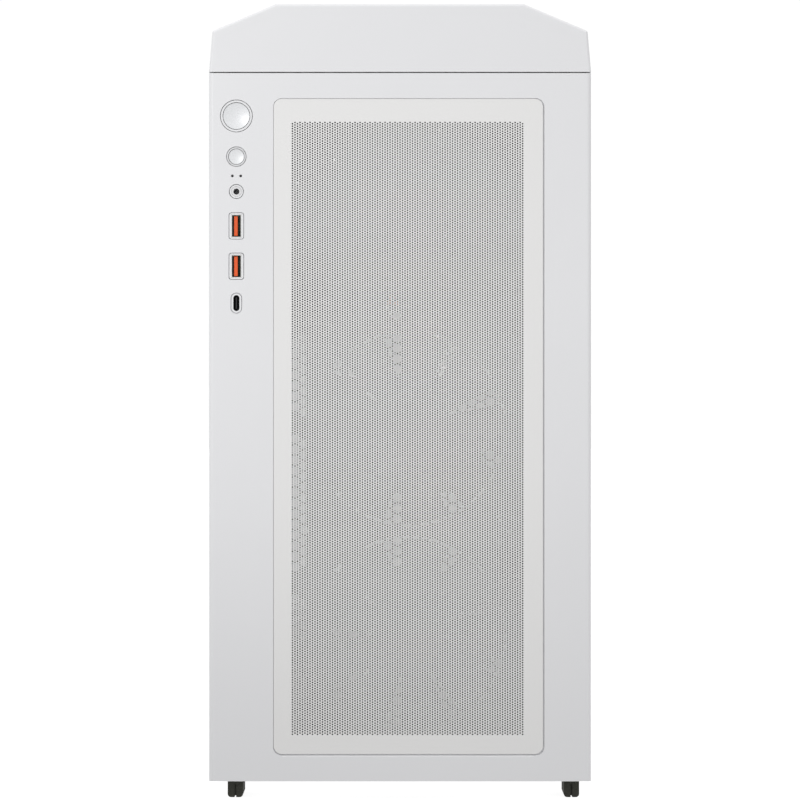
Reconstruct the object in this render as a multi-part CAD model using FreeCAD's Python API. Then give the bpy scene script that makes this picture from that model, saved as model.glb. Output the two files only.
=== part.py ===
import FreeCAD, Part
import math
import os

V = FreeCAD.Vector

# ---- driving dimensions (mm) ----
# Frame: origin on the floor under the middle of the case, front faces -Y, +X is right seen from the front.
CASE_HALF = 110.0          # half of the case width
FRONT_Y = -205.0           # front face of the bezel
REAR_Y = 198.0             # outer face of the rear panel
SHEET = 1.0                # steel sheet thickness
CHASSIS_HALF = 104.0       # half width of the steel chassis
CHASSIS_FRONT = -168.0     # front face of the chassis front sheet
BASE_Z = 14.0              # underside of the base pan
CHASSIS_TOP = 416.0        # top face of the top frame
BODY_BOTTOM = 10.5         # bottom edge of the front bezel
SEAM_Z = 418.2             # top edge of the front bezel
COVER_Z = 418.9            # bottom edge of the top cover
SHOULDER_Z = 442.5         # where the cover sides turn into the sloped top
TOP_Z = 458.0              # flat top of the cover
SHOULDER_HALF = 108.0
FLAT_HALF = 71.4
WALL = 2.5                 # plastic wall thickness
BEZEL_BACK = -169.0
PANEL = (-72.8, 82.35, 26.1, 403.5)       # front insert plate x0, x1, z0, z1
PANEL_R = 4.75
TOP_PANEL = (-61.4, 61.4, -159.4, 149.4)  # top insert plate x0, x1, y0, y1
IO_X = -94.2               # column of front buttons and sockets
POWER_Z = 393.5
RESET_Z = 370.1
LED_Z = 359.0
LED_X = (-96.5, -91.7)
AUDIO_Z = 350.0
USB_A_Z = (330.2, 307.0)
USB_C_Z = 285.8
STUDS = ((-90, 30), (-90, 255), (-76, 410), (96, 30), (96, 220), (96, 409))
CLIPS = [(sx * 96.0, y) for sx in (-1, 1) for y in (-140.0, 15.0, 160.0)]
FAN = 120.0                # case fan size
FAN_T = 25.0
FAN_HOLE = 52.5            # half spacing of the fan screw holes
FRONT_FAN_X = 5.0
FRONT_FAN_Z = (93.5, 213.5, 333.5)
REAR_FAN = (-37.0, 345.0)
TRAY_X = 75.0              # face of the motherboard tray
BOARD_X = 67.4             # component face of the motherboard
BOARD = (-49.0, 195.0, 108.0, 413.0)      # motherboard y0, y1, z0, z1
SLOT_Z = [233.0 - 20.32 * i for i in range(7)]
CARD_Z = SLOT_Z[1]
CPU = (105.0, 330.0)       # y, z of the processor
PSU = (-75.5, 74.5, 56.9, 196.9, 16.0, 102.0)
SHROUD_Z = 104.0
THUMB_X = 100.5
THUMB_Z = (90.0, 340.0)
PSU_SCREWS = ((-70.5, 21.5), (69.5, 21.5), (-70.5, 96.5), (69.5, 96.5))
FOOT_X = (-95.35, 99.3)
FOOT_Y = ((-180.0, -120.0), (120.0, 180.0))
FILTER = (-69.0, 69.0, 45.0, 190.0)


# ---- small helpers ----
def box(x0, x1, y0, y1, z0, z1):
    return Part.makeBox(x1 - x0, y1 - y0, z1 - z0, V(x0, y0, z0))


def rod_x(x0, x1, y, z, r):
    return Part.makeCylinder(r, x1 - x0, V(x0, y, z), V(1, 0, 0))


def rod_y(x, y0, y1, z, r):
    return Part.makeCylinder(r, y1 - y0, V(x, y0, z), V(0, 1, 0))


def rod_z(x, y, z0, z1, r):
    return Part.makeCylinder(r, z1 - z0, V(x, y, z0), V(0, 0, 1))


def place(axis, u, v, w):
    # the point at (u, v) in the plane across the axis, w along the axis
    if axis == "x":
        return V(w, u, v)
    if axis == "y":
        return V(u, w, v)
    return V(u, v, w)


AXES = {"x": V(1, 0, 0), "y": V(0, 1, 0), "z": V(0, 0, 1)}


def ring(axis, points, w):
    corners = [place(axis, u, v, w) for u, v in points]
    return Part.makePolygon(corners + corners[:1])


def rect(axis, u0, u1, v0, v1, w, r=0.0):
    if r <= 0:
        return ring(axis, [(u0, v0), (u1, v0), (u1, v1), (u0, v1)], w)
    edges = []
    k = r * (1 - math.sqrt(0.5))
    corners = ((u1, v0, -1, 1), (u1, v1, -1, -1), (u0, v1, 1, -1), (u0, v0, 1, 1))
    ends = []
    for i, (u, v, su, sv) in enumerate(corners):
        flat = (u + su * r, v)
        side = (u, v + sv * r)
        first, last = (flat, side) if i % 2 == 0 else (side, flat)
        ends.append((first, (u + su * k, v + sv * k), last))
    for i, (first, middle, last) in enumerate(ends):
        a, b, c = (place(axis, p[0], p[1], w) for p in (first, middle, last))
        edges.append(Part.Arc(a, b, c).toShape())
        after = place(axis, ends[(i + 1) % 4][0][0], ends[(i + 1) % 4][0][1], w)
        if c.distanceToPoint(after) > 1e-6:
            edges.append(Part.makeLine(c, after))
    return Part.Wire(edges)


def circle(axis, u, v, r, w):
    return Part.Wire(Part.makeCircle(r, place(axis, u, v, w), AXES[axis]))


def hexagon(axis, u, v, flats, w):
    # flat edges at the top and bottom
    r = flats / math.sqrt(3.0)
    return ring(axis, [(u + r * math.cos(math.radians(60 * i)),
                        v + r * math.sin(math.radians(60 * i))) for i in range(6)], w)


def sheet(axis, outline, holes, thickness):
    face = Part.makeFace([outline] + list(holes), "Part::FaceMakerCheese")
    return face.extrude(AXES[axis] * thickness)


def one(shapes):
    # join overlapping or touching shapes into a single solid
    return shapes[0].multiFuse(shapes[1:]).removeSplitter()


def tube(axis, u, v, r_out, r_in, w, length):
    return sheet(axis, circle(axis, u, v, r_out, w), [circle(axis, u, v, r_in, w)], length)


def rect_tube(axis, u, v, du, dv, r, hole_u, hole_v, hole_r, w, length):
    outer = rect(axis, u - du / 2, u + du / 2, v - dv / 2, v + dv / 2, w, r)
    inner = rect(axis, u - hole_u / 2, u + hole_u / 2, v - hole_v / 2, v + hole_v / 2, w, hole_r)
    return sheet(axis, outer, [inner], length)


def rounded_path(points, bend):
    # straight runs joined by tangent arcs
    edges = []
    start = V(*points[0])
    for i in range(1, len(points) - 1):
        corner = V(*points[i])
        back = (V(*points[i - 1]) - corner).normalize()
        ahead = (V(*points[i + 1]) - corner).normalize()
        half = back.getAngle(ahead) / 2
        reach = bend / math.tan(half)
        a = corner + back * reach
        c = corner + ahead * reach
        middle = (back + ahead).normalize()
        b = corner + middle * (bend / math.sin(half) - bend)
        edges.append(Part.makeLine(start, a))
        edges.append(Part.Arc(a, b, c).toShape())
        start = c
    edges.append(Part.makeLine(start, V(*points[-1])))
    return Part.Wire(edges)


def pipe(points, bend, r):
    path = rounded_path(points, bend)
    direction = (V(*points[1]) - V(*points[0])).normalize()
    profile = Part.Wire(Part.makeCircle(r, V(*points[0]), direction))
    return path.makePipeShell([profile], True, True)


def hex_field(axis, columns, z_first, z_last, pitch, flats, w, keep):
    # staggered hexagonal holes in the plane across the axis; keep(u, v) says whether a hole is punched
    holes = []
    for i, u in columns:
        v = z_first + (pitch / 2 if i % 2 else 0.0)
        while v <= z_last:
            if keep(u, v):
                holes.append(hexagon(axis, u, v, flats, w))
            v += pitch
    return holes


parts = {}

# ---- steel chassis ----
slots = []
for i in range(5):
    for j in range(21):
        x = -44.0 + 22.0 * i
        y = 68.0 + 5.6 * j
        slots.append(rect("z", x - 9, x + 9, y - 1.6, y + 1.6, BASE_Z, 1.55))
outline = rect("z", -CHASSIS_HALF, CHASSIS_HALF, CHASSIS_FRONT + SHEET, REAR_Y - SHEET, BASE_Z)
base = [sheet("z", outline, slots, SHEET)]
for s in (-1, 1):
    x0, x1 = sorted((s * CHASSIS_HALF, s * (CHASSIS_HALF - SHEET)))
    base.append(box(x0, x1, CHASSIS_FRONT + SHEET, REAR_Y - SHEET, BASE_Z, BASE_Z + 13))
    x0, x1 = sorted((s * 69.7, s * 71.0))
    base.append(box(x0, x1, FILTER[2] - 3, FILTER[3], 10.7, BASE_Z))
    x0, x1 = sorted((s * 66.0, s * 71.0))
    base.append(box(x0, x1, FILTER[2] - 3, FILTER[3], 10.7, 11.2))
parts["base_pan"] = one(base)

w = REAR_Y - SHEET
fx, fz = REAR_FAN
openings = [rect("y", 24.5, 69.0, 250.0, 408.7, w, 1.5),
            rect("y", -65.0, 64.0, 26.0, 92.0, w, 4.0)]
columns = [(i, fx + 6.58 * i) for i in range(-9, 10)]
openings += hex_field("y", columns, fz - 57.0, fz + 60.0, 7.6, 6.2, w,
                      lambda u, v: math.hypot(u - fx, v - fz) < 53.0)
columns = [(i, 80.5 + 6.58 * i) for i in range(2)]
openings += hex_field("y", columns, 116.0, 238.0, 7.6, 6.2, w, lambda u, v: True)
for z in SLOT_Z:
    openings.append(rect("y", -40.0, 66.0, z - 6.5, z + 6.5, w, 1.5))
    openings.append(circle("y", -46.0, z, 1.8, w))
for x, z in PSU_SCREWS:
    openings.append(circle("y", x, z, 1.8, w))
for sx in (-1, 1):
    for z in THUMB_Z:
        openings.append(circle("y", sx * THUMB_X, z, 2.1, w))
    for sz in (-1, 1):
        openings.append(circle("y", fx + sx * FAN_HOLE, fz + sz * FAN_HOLE, 2.3, w))
outline = rect("y", -CHASSIS_HALF, CHASSIS_HALF, BASE_Z, CHASSIS_TOP, w)
parts["rear_panel"] = sheet("y", outline, openings, SHEET)

w = CHASSIS_FRONT
bands = (308.0, 215.5, 123.0)


def clear_of_bands(u, v):
    if 33.5 < u < 50.5 and 258.0 < v < 323.0:
        return False
    return all(abs(v - b) > 7.0 for b in bands)


columns = [(i, -17.9 + 5.39 * i) for i in range(16)]
openings = hex_field("y", columns, 40.0, 388.0, 6.2, 5.0, w, clear_of_bands)
columns = [(0, -36.7), (0, -60.9), (1, -55.5)]
openings += hex_field("y", columns, 40.0, 388.0, 6.2, 5.0, w, clear_of_bands)
openings.append(rect("y", -49.2, -44.0, 324.0, 390.0, w, 2.5))
for z0, z1 in ((324.0, 390.0), (243.0, 295.0), (155.0, 203.0), (67.0, 113.0)):
    openings.append(rect("y", -30.0, -24.6, z0, z1, w, 2.6))
for x, z in STUDS:
    openings.append(circle("y", x, z, 3.1, w))
for z in FRONT_FAN_Z:
    for sz in (-1, 1):
        openings.append(circle("y", 68.5, z + sz * 40.0, 2.3, w))
openings.append(rect("y", -99.0, -89.0, 288.0, 318.0, w, 3.0))
outline = rect("y", -CHASSIS_HALF, CHASSIS_HALF, BASE_Z, CHASSIS_TOP, w)
front = [sheet("y", outline, openings, SHEET)]
for s in (-1, 1):
    x0, x1 = sorted((s * CHASSIS_HALF, s * (CHASSIS_HALF - SHEET)))
    front.append(box(x0, x1, w + SHEET, w + 13, 28.0, 402.0))
parts["chassis_front"] = Part.makeCompound(front)

w = CHASSIS_TOP - SHEET
openings = [rect("z", x - 2.6, x + 2.6, y - 7, y + 7, w, 0.8) for x, y in CLIPS]
for y in (-78.0, 52.0):
    openings.append(circle("z", -14.0, y, 57.0, w))
    for sx in (-1, 1):
        for sy in (-1, 1):
            x = -14.0 + sx * FAN_HOLE
            v = y + sy * FAN_HOLE
            openings.append(rect("z", x - 6.0, x + 6.0, v - 2.2, v + 2.2, w, 2.2))
outline = rect("z", -CHASSIS_HALF, CHASSIS_HALF, CHASSIS_FRONT + SHEET, REAR_Y - SHEET, w)
top = [sheet("z", outline, openings, SHEET)]
for s in (-1, 1):
    x0, x1 = sorted((s * CHASSIS_HALF, s * (CHASSIS_HALF - SHEET)))
    top.append(box(x0, x1, CHASSIS_FRONT + SHEET, REAR_Y - SHEET, w - 12, w))
parts["top_frame"] = one(top)

openings = [rect("x", -90.0, -62.0, z, z + 60.0, TRAY_X, 8.0) for z in (140.0, 225.0, 310.0)]
openings.append(rect("x", 60.0, 150.0, 285.0, 375.0, TRAY_X, 6.0))
for y in (-125.0, -110.0):
    for z in (160.0, 260.0, 360.0):
        openings.append(rect("x", y - 1.5, y + 1.5, z - 8, z + 8, TRAY_X, 1.4))
outline = rect("x", -138.0, REAR_Y - SHEET, SHROUD_Z, CHASSIS_TOP - SHEET, TRAY_X)
lead_window = rect("x", -10.0, 45.0, 30.0, 90.0, TRAY_X, 6.0)
lower = rect("x", -14.0, REAR_Y - SHEET, BASE_Z + SHEET, SHROUD_Z, TRAY_X)
# the lower plate stops short of the drive cage, so drives slide in from the right side
parts["motherboard_tray"] = Part.makeCompound([sheet("x", outline, openings, SHEET),
                                               sheet("x", lower, [lead_window], SHEET)])

openings = [rect("z", -92.0 + 14 * i, -82.0 + 14 * i, -118.0, -30.0, SHROUD_Z, 4.9) for i in range(10)]
openings.append(rect("z", 30.0, 68.0, 0.0, 40.0, SHROUD_Z, 6.0))
outline = rect("z", -103.0, TRAY_X, -130.0, 195.5, SHROUD_Z)
shroud = [sheet("z", outline, openings, SHEET),
          box(-103.0, -102.0, -130.0, 180.0, BASE_Z + SHEET, SHROUD_Z)]
parts["psu_shroud"] = Part.makeCompound(shroud)

floor_z = BASE_Z + SHEET
cage = [box(-95.0, 62.0, -125.0, -17.0, floor_z, floor_z + 1.0), box(-95.0, 62.0, -125.0, -17.0, 99.0, 100.0)]
for y, rail_y in ((-125.0, -124.0), (-18.0, -27.0)):
    windows = [rect("y", x - 18, x + 18, z, z + 20, y, 2.0) for x in (-70.0, -16.5, 37.0) for z in (30.0, 69.0)]
    cage.append(sheet("y", rect("y", -95.0, 62.0, floor_z + 1.0, 99.0, y), windows, 1.0))
    for z in (21.0, 60.0):
        cage.append(box(-95.0, 62.0, rail_y, rail_y + 9.0, z, z + 1.0))
parts["drive_cage"] = Part.makeCompound(cage)
drive = box(-88.0, 59.0, -121.8, -20.2, 22.0, 48.1)
parts["hard_drive"] = drive.makeFillet(1.5, [e for e in drive.Edges if e.BoundBox.ZLength > 20])

# ---- feet ----
carriers = []
pads = []
for x in FOOT_X:
    for y0, y1 in FOOT_Y:
        flange = box(x - 6.3, x + 6.5, y0, y1, 9.2, 10.2)
        inner0, inner1 = (y0 + 14, y1) if y0 < 0 else (y0, y1)
        boss = box(x - 4.2, x + 4.2, inner0, inner1, 9.2, BASE_Z)
        carriers.append(one([flange, boss]))
        section = rect("y", x - 4.45, x + 4.45, 0.0, 9.2, y0 + 0.5, 2.0)
        pad = sheet("y", section, [], y1 - y0 - 1.0)
        pad = pad.fuse(box(x - 4.45, x + 4.45, y0 + 0.5, y1 - 0.5, 6.0, 9.2)).removeSplitter()
        pad = pad.cut(box(x - 0.5, x + 0.5, y0, y1, -1.0, 7.5))
        pads.append(pad.fuse(box(x - 0.6, x + 0.6, y0 + 1.5, y1 - 0.5, 1.0, 8.0)).removeSplitter())
parts["foot_carriers"] = Part.makeCompound(carriers)
parts["foot_pads"] = Part.makeCompound(pads)

# ---- bottom dust filter, slides out at the back under the base pan ----
x0, x1, y0, y1 = FILTER
windows = [rect("z", x0 + 5 + 66 * i, x0 + 67 + 66 * i - 5, y0 + 5 + 70 * j, y0 + 70 + 70 * j, 11.5, 3.0)
           for i in range(2) for j in range(2)]
frame = sheet("z", rect("z", x0, x1, y0, y1, 11.5, 3.0), windows, 2.0)
net = box(x0 + 3, x1 - 3, y0 + 3, y1 - 3, 12.3, 12.6)
handle = sheet("z", rect("z", -25.0, 25.0, y1 - 6, 200.0, 11.5, 4.0), [], 2.0)
parts["bottom_filter"] = one([frame, net, handle])

# ---- front bezel ----
shell = box(-CASE_HALF, CASE_HALF, FRONT_Y, BEZEL_BACK, BODY_BOTTOM, SEAM_Z)
upright = [e for e in shell.Edges if abs(e.Vertexes[0].Z - e.Vertexes[1].Z) > 300
           and e.Vertexes[0].Y < FRONT_Y + 1]
shell = shell.makeFillet(2.5, upright)
cavity = box(-CASE_HALF + WALL, CASE_HALF - WALL, FRONT_Y + WALL, BEZEL_BACK + 1,
             BODY_BOTTOM + WALL, SEAM_Z - WALL)
shell = shell.cut(cavity)
px0, px1, pz0, pz1 = PANEL
ledge = box(px0 - 3, px1 + 3.5, FRONT_Y + WALL, FRONT_Y + 5, pz0 - 3.5, pz1 + 3)
bosses = [rod_y(x, FRONT_Y + WALL, BEZEL_BACK - 0.3, z, 4.0) for x, z in STUDS]
pins = [rod_y(x, BEZEL_BACK - 1.0, -161.0, z, 2.5) for x, z in STUDS]
shell = one([shell, ledge] + bosses + pins)
recess = sheet("y", rect("y", px0 - 0.17, px1 + 0.8, pz0 - 0.65, pz1 + 0.17, FRONT_Y - 1, 4.9), [], 2.6)
through = sheet("y", rect("y", px0 + 5.5, px1 - 6, pz0 + 5.5, pz1 - 7.5, FRONT_Y - 1, 3.0), [], 9.0)
lip = ring("x", [(FRONT_Y - 0.1, pz0 - 0.6), (FRONT_Y - 0.1, pz0 - 1.6), (FRONT_Y + 0.9, pz0 - 0.6)], px0 + 5)
lip = Part.Face(lip).extrude(V(px1 - px0 - 10, 0, 0))
cuts = [recess, through, lip]
w = FRONT_Y - 1
cuts.append(rod_y(IO_X, w, w + 9, POWER_Z, 9.4))
cuts.append(rod_y(IO_X, w, w + 9, RESET_Z, 5.8))
cuts.append(rod_y(IO_X, w, w + 9, AUDIO_Z, 4.25))
for x in LED_X:
    cuts.append(rod_y(x, w, w + 9, LED_Z, 0.8))
for z in USB_A_Z:
    cuts.append(sheet("y", rect("y", IO_X - 4.4, IO_X + 4.4, z - 7.75, z + 7.75, w, 1.6), [], 9.0))
cuts.append(sheet("y", rect("y", IO_X - 3.25, IO_X + 3.25, USB_C_Z - 5.95, USB_C_Z + 5.95, w, 3.2), [], 9.0))
cuts.append(box(-40.0, 40.0, -190.0, BEZEL_BACK + 1, BODY_BOTTOM - 1, BODY_BOTTOM + WALL + 0.1))
parts["front_bezel"] = shell.cut(Part.makeCompound(cuts))
parts["front_mesh_panel"] = sheet("y", rect("y", px0, px1, pz0, pz1, FRONT_Y + 0.2, PANEL_R), [], 1.2)

# ---- front input module, fixed to the chassis behind the bezel ----
housing = box(-104.0, -84.5, -201.0, CHASSIS_FRONT, 277.0, 405.0).cut(
    box(-102.9, -85.6, -199.0, CHASSIS_FRONT + 1, 278.5, 403.5))
collars = [rod_y(IO_X, -204.9, -199.5, POWER_Z, 9.05),
           rod_y(IO_X, -204.9, -199.5, RESET_Z, 5.45),
           rod_y(IO_X, -204.8, -199.5, AUDIO_Z, 3.9)]
for z in USB_A_Z:
    collars.append(sheet("y", rect("y", IO_X - 4.1, IO_X + 4.1, z - 7.45, z + 7.45, -204.8, 1.4), [], 5.0))
collars.append(sheet("y", rect("y", IO_X - 2.95, IO_X + 2.95, USB_C_Z - 5.65, USB_C_Z + 5.65, -204.8, 2.9),
                     [], 5.0))
ledges = [box(-103.1, -101.0, -184.3, CHASSIS_FRONT, 278.4, 403.6),
          box(-87.5, -85.4, -184.3, CHASSIS_FRONT, 278.4, 403.6)]
housing = one([housing] + collars + ledges)
bores = [rod_y(IO_X, -206.0, -198.0, POWER_Z, 7.9),
         rod_y(IO_X, -206.0, -198.0, RESET_Z, 4.7),
         rod_y(IO_X, -206.0, -198.0, AUDIO_Z, 2.95)]
for x in LED_X:
    bores.append(rod_y(x, -206.0, -198.0, LED_Z, 0.6))
for z in USB_A_Z:
    bores.append(box(IO_X - 2.9, IO_X + 2.9, -206.0, -198.0, z - 6.6, z + 6.6))
bores.append(sheet("y", rect("y", IO_X - 1.8, IO_X + 1.8, USB_C_Z - 4.6, USB_C_Z + 4.6, -206.0, 1.75), [], 8.0))
parts["io_module_housing"] = housing.cut(Part.makeCompound(bores))


def button(z, r, flange_r, stem_r):
    cap = rod_y(IO_X, -204.9, -197.0, z, r)
    rim = [e for e in cap.Edges if abs(e.BoundBox.YMax + 204.9) < 0.01]
    cap = cap.makeFillet(0.5, rim)
    dish = Part.makeSphere(r * 4.0, V(IO_X, -204.6 - math.sqrt(15.0) * r, z))
    groove = tube("y", IO_X, z, r - 0.9, r - 1.15, -205.5, 0.85)
    cap = cap.cut(dish).cut(groove)
    return one([cap, rod_y(IO_X, -198.8, -197.0, z, flange_r), rod_y(IO_X, -197.5, -192.4, z, stem_r)])


parts["power_button"] = button(POWER_Z, 7.6, 8.15, 2.0)
parts["reset_button"] = button(RESET_Z, 4.4, 5.4, 1.6)
parts["led_pipes"] = Part.makeCompound([rod_y(x, -204.5, -187.0, LED_Z, 0.55) for x in LED_X])
jack = one([rod_y(IO_X, -204.7, -198.5, AUDIO_Z, 2.85), box(-99.0, -89.4, -199.0, -186.0, 345.2, 354.8)])
parts["audio_jack"] = jack.cut(rod_y(IO_X, -206.0, -190.5, AUDIO_Z, 1.75))
parts["usb_a_shells"] = Part.makeCompound(
    [rect_tube("y", IO_X, z, 5.7, 13.1, 0.5, 5.12, 12.5, 0.3, -204.6, 18.6) for z in USB_A_Z])
parts["usb_a_tongues"] = Part.makeCompound(
    [box(-95.5, -93.5, -203.2, -186.0, z - 5.6, z + 5.6) for z in USB_A_Z])
port = rect_tube("y", IO_X, USB_C_Z, 3.5, 9.1, 1.7, 3.0, 8.5, 1.45, -204.6, 18.0)
port = one([port, box(IO_X - 1.7, IO_X + 1.7, -188.0, -186.0, USB_C_Z - 4.4, USB_C_Z + 4.4),
            box(IO_X - 0.35, IO_X + 0.35, -203.6, -187.5, USB_C_Z - 3.35, USB_C_Z + 3.35)])
parts["usb_c_port"] = port
board = [box(-102.3, -86.2, -186.0, -184.4, 279.5, 403.0)]
for z in (POWER_Z, RESET_Z):
    board.append(box(IO_X - 3, IO_X + 3, -189.6, -185.5, z - 3, z + 3))
    board.append(rod_y(IO_X, -190.6, -189.0, z, 1.7))
for x in LED_X:
    board.append(box(x - 1, x + 1, -187.0, -185.5, LED_Z - 0.8, LED_Z + 0.8))
board.append(box(-98.0, -90.0, -184.9, -178.0, 288.0, 312.0))
parts["front_io_board"] = one(board)


# ---- fans ----
def fan_frame(size, depth, bore):
    # axis along Y, air side at y = 0
    half = size / 2
    hole = half - 7.5
    holes = [circle("y", sx * hole, sz * hole, 2.15, 0) for sx in (-1, 1) for sz in (-1, 1)]
    flange = sheet("y", rect("y", -half, half, -half, half, 0, 5.0), holes + [circle("y", 0, 0, bore, 0)], 4.0)
    back = flange.translated(V(0, depth - 4.0, 0))
    barrel = tube("y", 0, 0, half - 0.5, bore, 3.5, depth - 7.0)
    hub = rod_y(0, depth - 3.0, depth, 0, 21.0)
    strut = box(20.0, bore + 0.5, depth - 3.0, depth, -2.0, 2.0)
    struts = [strut.rotated(V(0, 0, 0), V(0, 1, 0), a) for a in (35, 125, 215, 305)]
    return one([flange, back, barrel, hub] + struts)


def fan_rotor(hub_r, tip_r, depth, blades):
    # axis along Y, front of the hub at y = 0
    hub = rod_y(0, 0, depth, 0, hub_r)
    hub = hub.makeFillet(1.2, [e for e in hub.Edges if e.BoundBox.YMax < 0.01])
    wires = []
    for x, chord, angle in ((hub_r - 2.0, hub_r * 0.78, 48.0), (tip_r + 2.0, tip_r * 0.68, 27.0)):
        rise = math.tan(math.radians(angle))
        reach = min(chord / 2, (depth / 2 - 1.6) / rise)
        line = []
        for k in (-1.0, -0.5, 0.0, 0.5, 1.0):
            t = reach * k
            line.append((t, depth / 2 + t * rise + 0.10 * reach * (1 - k * k)))
        upper = [V(x, y + 0.7, t) for t, y in line]
        lower = [V(x, y - 0.7, t) for t, y in reversed(line)]
        wires.append(Part.makePolygon(upper + lower + upper[:1]))
    blade = Part.makeLoft(wires, True, True)
    blade = blade.common(rod_y(0, -1.0, depth + 1.0, 0, tip_r))
    ring_of_blades = [blade.rotated(V(0, 0, 0), V(0, 1, 0), 360.0 * i / blades) for i in range(blades)]
    return one([hub] + ring_of_blades)


frame120 = fan_frame(FAN, FAN_T, 57.5)
rotor120 = fan_rotor(20.0, 55.8, 18.4, 9)
front_y = CHASSIS_FRONT + SHEET
frames = [frame120.translated(V(FRONT_FAN_X, front_y, z)) for z in FRONT_FAN_Z]
frames.append(frame120.translated(V(fx, REAR_Y - SHEET - FAN_T, fz)))
parts["case_fan_frames"] = Part.makeCompound(frames)
for name, z in zip(("lower", "middle", "upper"), FRONT_FAN_Z):
    parts["front_fan_rotor_" + name] = rotor120.translated(V(FRONT_FAN_X, front_y + 3.0, z))
parts["rear_fan_rotor"] = rotor120.translated(V(fx, REAR_Y - SHEET - FAN_T + 3.0, fz))
screws = []
for sx in (-1, 1):
    for sz in (-1, 1):
        x = fx + sx * FAN_HOLE
        z = fz + sz * FAN_HOLE
        head = Part.makeCone(3.8, 2.6, 1.6, V(x, REAR_Y, z), V(0, 1, 0))
        screw = head.fuse(rod_y(x, REAR_Y - 11, REAR_Y + 0.2, z, 2.1)).removeSplitter()
        cross = box(x - 2, x + 2, REAR_Y + 0.9, REAR_Y + 2, z - 0.4, z + 0.4).fuse(
            box(x - 0.4, x + 0.4, REAR_Y + 0.9, REAR_Y + 2, z - 2, z + 2))
        screws.append(screw.cut(cross))
parts["fan_screws"] = Part.makeCompound(screws)

# ---- expansion slot covers and case screws ----
covers = []
for i, z in enumerate(SLOT_Z):
    if i in (1, 2):
        continue
    hole = circle("y", -46.0, z, 1.75, 195.9)
    cover = sheet("y", rect("y", -50.5, 67.0, z - 9, z + 9, 195.9, 1.0), [hole], 1.1)
    rib = sheet("y", rect("y", -36.0, 62.0, z - 3.5, z + 3.5, 196.5, 3.0), [], 1.2)
    covers.append(cover.fuse(rib).removeSplitter())
parts["slot_covers"] = Part.makeCompound(covers)
screws = []
for x, z in [(-46.0, z) for z in SLOT_Z] + list(PSU_SCREWS):
    head = sheet("y", hexagon("y", x, z, 6.4, REAR_Y), [], 2.2)
    collar = rod_y(x, REAR_Y, REAR_Y + 0.8, z, 4.2)
    screw = one([head, collar, rod_y(x, REAR_Y - 6.0, REAR_Y + 0.5, z, 1.65)])
    slot = box(x - 2.2, x + 2.2, REAR_Y + 1.2, REAR_Y + 3, z - 0.4, z + 0.4).fuse(
        box(x - 0.4, x + 0.4, REAR_Y + 1.2, REAR_Y + 3, z - 2.2, z + 2.2))
    screws.append(screw.cut(slot))
parts["case_screws"] = Part.makeCompound(screws)

# ---- top cover and its insert ----
outer = [(-CASE_HALF, COVER_Z), (CASE_HALF, COVER_Z), (SHOULDER_HALF, SHOULDER_Z), (FLAT_HALF, TOP_Z),
         (-FLAT_HALF, TOP_Z), (-SHOULDER_HALF, SHOULDER_Z)]
inner = [(-107.5, COVER_Z - 1), (107.5, COVER_Z - 1), (105.6, 440.9), (70.9, TOP_Z - WALL),
         (-70.9, TOP_Z - WALL), (-105.6, 440.9)]
solid = Part.Face(ring("y", outer, FRONT_Y)).extrude(V(0, 404.0, 0))
soft = [e for e in solid.Edges if e.BoundBox.ZMin > COVER_Z + 1]
side = [e for e in solid.Edges if abs(abs(e.BoundBox.Center.x) - 109.0) < 0.2 and e.BoundBox.YMax < 0]
solid = solid.makeFillet(1.6, soft + side)
hollow = Part.Face(ring("y", inner, FRONT_Y + WALL)).extrude(V(0, 404.0 - 2 * WALL, 0))
cover = solid.cut(hollow)
tx0, tx1, ty0, ty1 = TOP_PANEL
ledge = box(tx0 - 4, tx1 + 4, ty0 - 4, ty1 + 4, TOP_Z - 4.6, TOP_Z - WALL)
posts = [box(x - 1.5, x + 1.5, y - 5, y + 5, 408.0, 446.0) for x, y in CLIPS]
cover = one([cover, ledge] + posts)
recess = sheet("z", rect("z", tx0 - 0.6, tx1 + 0.6, ty0 - 0.6, ty1 + 0.6, TOP_Z - 1.5, 6.0), [], 3.0)
through = sheet("z", rect("z", tx0 + 4, tx1 - 4, ty0 + 4, ty1 - 4, TOP_Z - 9, 4.0), [], 12.0)
parts["top_cover"] = cover.cut(Part.makeCompound([recess, through]))
parts["top_mesh_panel"] = sheet("z", rect("z", tx0, tx1, ty0, ty1, TOP_Z - 1.3, 5.4), [], 1.2)

# ---- side panels ----
py0 = -168.0
parts["glass_panel"] = sheet("x", rect("x", py0, 198.2, 12.5, 417.6, -CASE_HALF, 3.0), [], 4.0)
window = rect("x", py0 + 16, 180.0, 30.0, 400.0, -106.0, 6.0)
trim = sheet("x", rect("x", py0, 199.4, 12.5, 417.6, -106.0, 3.0), [window], 1.4)
holes = [circle("y", -THUMB_X, z, 2.2, 198.4) for z in THUMB_Z]
flange = sheet("y", rect("y", -106.0, -95.0, 20.0, 410.0, 198.4, 1.5), holes, 1.0)
parts["glass_panel_frame"] = one([trim, flange])
skin = box(109.0, CASE_HALF, py0, 199.4, 12.5, 417.6)
folds = [box(104.7, 109.2, py0, 198.2, 416.6, 417.6),
         box(104.7, 109.2, py0, 198.2, 12.5, 13.5),
         box(104.7, 109.2, py0, py0 + 1.0, 12.5, 417.6)]
holes = [circle("y", THUMB_X, z, 2.2, 198.4) for z in THUMB_Z]
flange = sheet("y", rect("y", 95.0, 109.5, 20.0, 410.0, 198.4, 1.5), holes, 1.0)
panel = one([skin, flange] + folds)
bend = [e for e in panel.Edges if e.BoundBox.XMin > CASE_HALF - 0.01 and e.BoundBox.XMax < CASE_HALF + 0.01]
parts["right_side_panel"] = panel.makeFillet(0.8, bend)


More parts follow.
